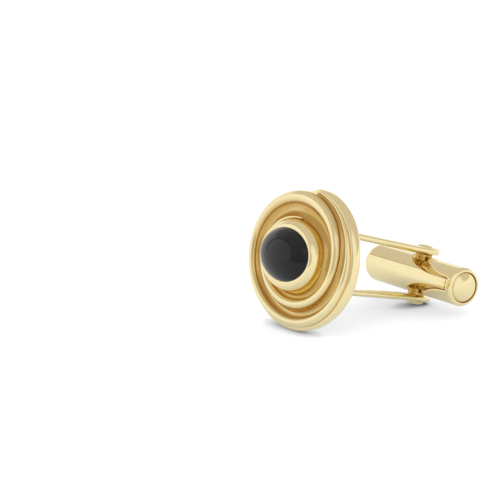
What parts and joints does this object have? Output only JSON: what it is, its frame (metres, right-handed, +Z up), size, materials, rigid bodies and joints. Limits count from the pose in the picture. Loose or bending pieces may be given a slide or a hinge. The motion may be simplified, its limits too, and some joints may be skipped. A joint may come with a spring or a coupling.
{
  "type": "cufflink",
  "caption": "Oval gold cufflink: a face with a tapering spiral ridge round a domed black stone, wire arms, and a bar toggle that swivels on a rivet and snaps at right angles.",
  "frame": {"origin": "on the table, under the middle of the cufflink's box as it rests on its lower rim and its lower rivet head", "axes": "+X along the face's long way and the toggle bar, towards the sleeve; +Y along the table from the stone to the toggle; +Z up"},
  "size_m": [0.02, 0.0234, 0.0156],
  "materials": {
    "gold": "mirror polished yellow gold",
    "onyx": "polished opaque black stone",
    "spring_steel": "drawn steel"
  },
  "bodies": {
    "face": {"face_plate": "gold", "swirl_ridge": "gold", "bezel_cup": "gold", "onyx_cabochon": "onyx", "upper_arm": "gold", "lower_arm": "gold", "pivot_rivet": "gold", "upper_collar": "gold", "lower_collar": "gold"},
    "toggle": {"toggle_body": "gold", "toggle_sleeve": "gold", "end_plug": "gold", "detent_spring": "spring_steel"},
    "plunger": {"detent_plunger": "spring_steel"}
  },
  "joints": [
    {"name": "toggle_swivel", "type": "hinge", "parent": "face", "child": "toggle", "pos_m": [0, 0.00946, 0.00362], "axis": [0, 0.2509, 0.968], "continuous": true},
    {"name": "plunger_slide", "type": "slide", "parent": "toggle", "child": "plunger", "axis": [1, 0, 0], "range_m": [-0.00008, 0.0003], "stiffness_N_per_m": 400, "springref_m": -0.0005, "deforming": ["detent_spring"]}
  ]
}
